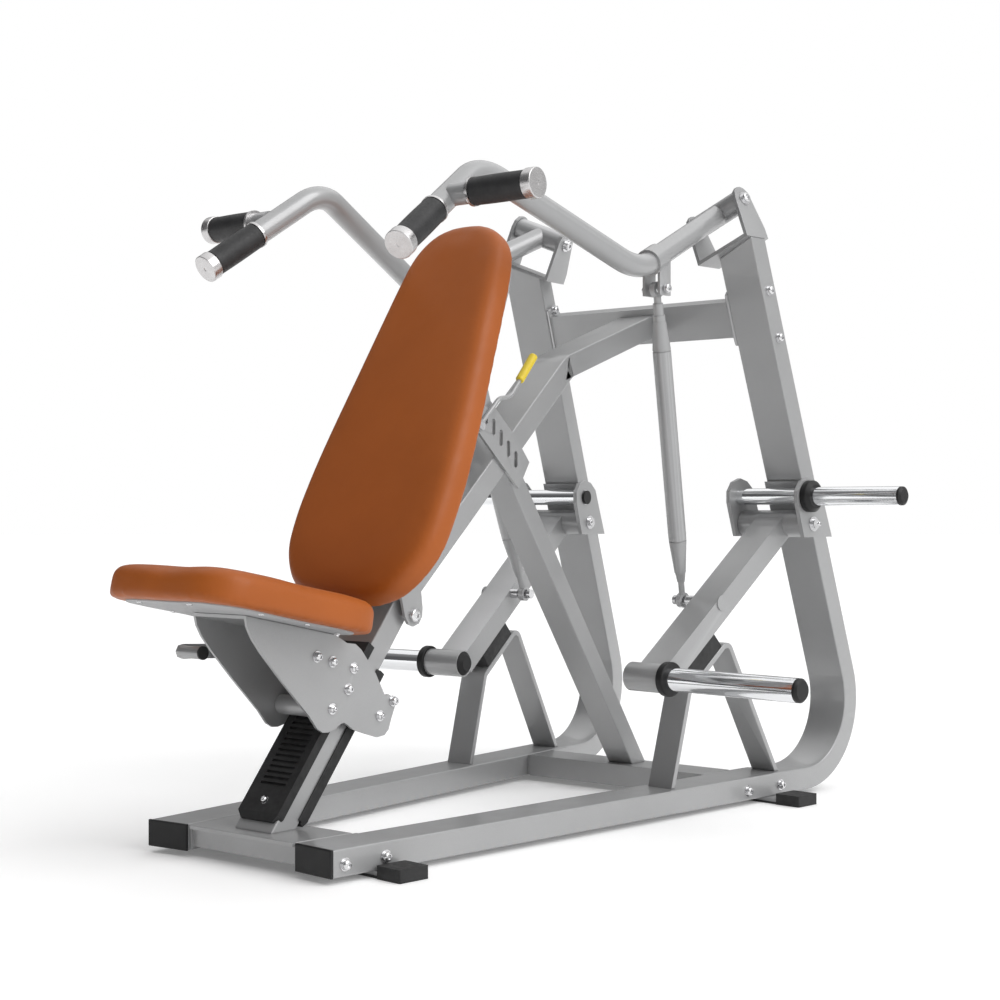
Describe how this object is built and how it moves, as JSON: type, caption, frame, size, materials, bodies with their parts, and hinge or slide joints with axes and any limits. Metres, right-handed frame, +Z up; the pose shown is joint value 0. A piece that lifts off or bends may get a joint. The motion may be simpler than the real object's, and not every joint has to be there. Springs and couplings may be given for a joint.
{
  "type": "chest press machine",
  "caption": "Seated chest press machine with a splayed steel frame, linked press and weight arms, plate horns, an adjustable seat and a reclining backrest.",
  "frame": {"origin": "centre of the machine's footprint, on the floor", "axes": "+Z up, the seated user faces -Y, +X is towards the right-hand press arm of someone who looks along +Y"},
  "size_m": [1.3676, 1.8197, 1.3883],
  "materials": {
    "frame_paint": "satin powder coat",
    "pad_leather": "smooth",
    "black_rubber": "matt",
    "black_plastic": "satin",
    "chrome": "polished",
    "bolt_steel": "bright zinc",
    "aluminium": "turned",
    "yellow_plastic": "satin"
  },
  "bodies": {
    "frame": {"side_frame_r": "frame_paint", "side_frame_l": "frame_paint", "rail_caps": "black_plastic", "front_tie": "frame_paint", "rear_tie": "frame_paint", "spine": "frame_paint", "top_beam": "frame_paint", "brace": "frame_paint", "foot_plates": "frame_paint", "foot_rubbers": "black_rubber", "stop_frame_r": "frame_paint", "stop_frame_l": "frame_paint", "bumpers": "black_rubber", "fork_r": "frame_paint", "fork_l": "frame_paint", "lower_pins": "bolt_steel", "storage_peg_r": "chrome", "storage_peg_l": "chrome", "peg_trims": "black_plastic", "top_bracket_r": "frame_paint", "top_bracket_l": "frame_paint", "top_pins": "bolt_steel", "frame_bolts": "bolt_steel", "front_guard": "black_rubber", "rear_guard": "black_rubber", "comb": "frame_paint", "hinge_pin": "bolt_steel"},
    "seat": {"seat_carriage": "frame_paint", "seat_pad": "pad_leather", "seat_bolts": "bolt_steel"},
    "roller_low": {"roller_low": "frame_paint"},
    "roller_high": {"roller_high": "frame_paint"},
    "roller_rear": {"roller_rear": "frame_paint"},
    "seat_lever": {"seat_lever": "frame_paint", "seat_lever_plug": "black_plastic"},
    "back": {"back_pad": "pad_leather", "back_frame": "frame_paint", "latch_pin": "bolt_steel"},
    "latch": {"latch_lever": "frame_paint", "latch_grip": "yellow_plastic"},
    "weight_r": {"weight_arm_r": "frame_paint", "horn_r": "chrome", "horn_trim_r": "black_plastic", "link_bolt_r": "bolt_steel"},
    "ball_r": {"link_ball_r": "bolt_steel"},
    "rod_r": {"link_rod_r": "frame_paint"},
    "press_r": {"press_arm_r": "frame_paint", "clevis_bolt_r": "bolt_steel", "grips_r": "black_rubber", "grip_caps_r": "aluminium"},
    "weight_l": {"weight_arm_l": "frame_paint", "horn_l": "chrome", "horn_trim_l": "black_plastic", "link_bolt_l": "bolt_steel"},
    "ball_l": {"link_ball_l": "bolt_steel"},
    "rod_l": {"link_rod_l": "frame_paint"},
    "press_l": {"press_arm_l": "frame_paint", "clevis_bolt_l": "bolt_steel", "grips_l": "black_rubber", "grip_caps_l": "aluminium"}
  },
  "joints": [
    {"name": "press_r", "type": "hinge", "parent": "frame", "child": "press_r", "pos_m": [0.258, 0.5161, 1.332], "axis": [-0.9265, 0.0857, -0.3665], "range_deg": [0, 28]},
    {"name": "weight_r", "type": "hinge", "parent": "frame", "child": "weight_r", "pos_m": [0.32513, 0.65588, 0.6265], "axis": [-0.9958, 0.0921, 0], "range_deg": [0, 30]},
    {"name": "link_ball_r", "type": "hinge", "parent": "press_r", "child": "ball_r", "pos_m": [0.29, 0.2201, 1.131], "axis": [0.9958, -0.0921, 0], "range_deg": [0, 27]},
    {"name": "link_rod_r", "type": "hinge", "parent": "ball_r", "child": "rod_r", "pos_m": [0.29, 0.2201, 1.131], "axis": [-0.0889, -0.9612, -0.2611], "range_deg": [-2, 2]},
    {"name": "press_l", "type": "hinge", "parent": "frame", "child": "press_l", "pos_m": [-0.258, 0.5161, 1.332], "axis": [-0.9265, -0.0857, 0.3665], "range_deg": [0, 28]},
    {"name": "weight_l", "type": "hinge", "parent": "frame", "child": "weight_l", "pos_m": [-0.32513, 0.65588, 0.6265], "axis": [-0.9958, -0.0921, 0], "range_deg": [0, 30]},
    {"name": "link_ball_l", "type": "hinge", "parent": "press_l", "child": "ball_l", "pos_m": [-0.29, 0.2201, 1.131], "axis": [0.9958, 0.0921, 0], "range_deg": [0, 27]},
    {"name": "link_rod_l", "type": "hinge", "parent": "ball_l", "child": "rod_l", "pos_m": [-0.29, 0.2201, 1.131], "axis": [-0.0889, 0.9612, 0.2611], "range_deg": [-2, 2]},
    {"name": "seat_slide", "type": "slide", "parent": "frame", "child": "seat", "axis": [0, 0.6225, 0.7826], "range_m": [-0.12, 0]},
    {"name": "roller_low", "type": "hinge", "parent": "seat", "child": "roller_low", "pos_m": [0, -0.53979, 0.28291], "axis": [1, 0, 0], "range_deg": [-5, 352]},
    {"name": "roller_high", "type": "hinge", "parent": "seat", "child": "roller_high", "pos_m": [0, -0.48146, 0.35624], "axis": [1, 0, 0], "range_deg": [-5, 352]},
    {"name": "roller_rear", "type": "hinge", "parent": "seat", "child": "roller_rear", "pos_m": [0, -0.40932, 0.25834], "axis": [1, 0, 0], "range_deg": [-313, 5]},
    {"name": "seat_lever", "type": "hinge", "parent": "seat", "child": "seat_lever", "pos_m": [-0.118, -0.5799, 0.384], "axis": [-1, 0, 0], "range_deg": [0, 8], "stiffness_Nm_per_rad": 12, "springref_deg": -6.88},
    {"name": "recline", "type": "hinge", "parent": "frame", "child": "back", "pos_m": [0, -0.3079, 0.449], "axis": [-1, 0, 0], "range_deg": [-6, 8]},
    {"name": "latch", "type": "hinge", "parent": "back", "child": "latch", "pos_m": [0.076, -0.11557, 0.83359], "axis": [1, 0, 0], "range_deg": [0, 9], "stiffness_Nm_per_rad": 2, "springref_deg": -17.19}
  ],
  "couplings": [
    {"joint": "weight_r", "follows": "press_r", "ratio": 1.0615},
    {"joint": "link_ball_r", "follows": "press_r", "ratio": 0.942},
    {"joint": "link_rod_r", "follows": "press_r", "ratio": 0.0103},
    {"joint": "weight_l", "follows": "press_l", "ratio": 1.0615},
    {"joint": "link_ball_l", "follows": "press_l", "ratio": 0.942},
    {"joint": "link_rod_l", "follows": "press_l", "ratio": 0.0103},
    {"joint": "roller_low", "follows": "seat_slide", "rad_per_m": -51.02},
    {"joint": "roller_high", "follows": "seat_slide", "rad_per_m": -51.02},
    {"joint": "roller_rear", "follows": "seat_slide", "rad_per_m": 45.455}
  ]
}
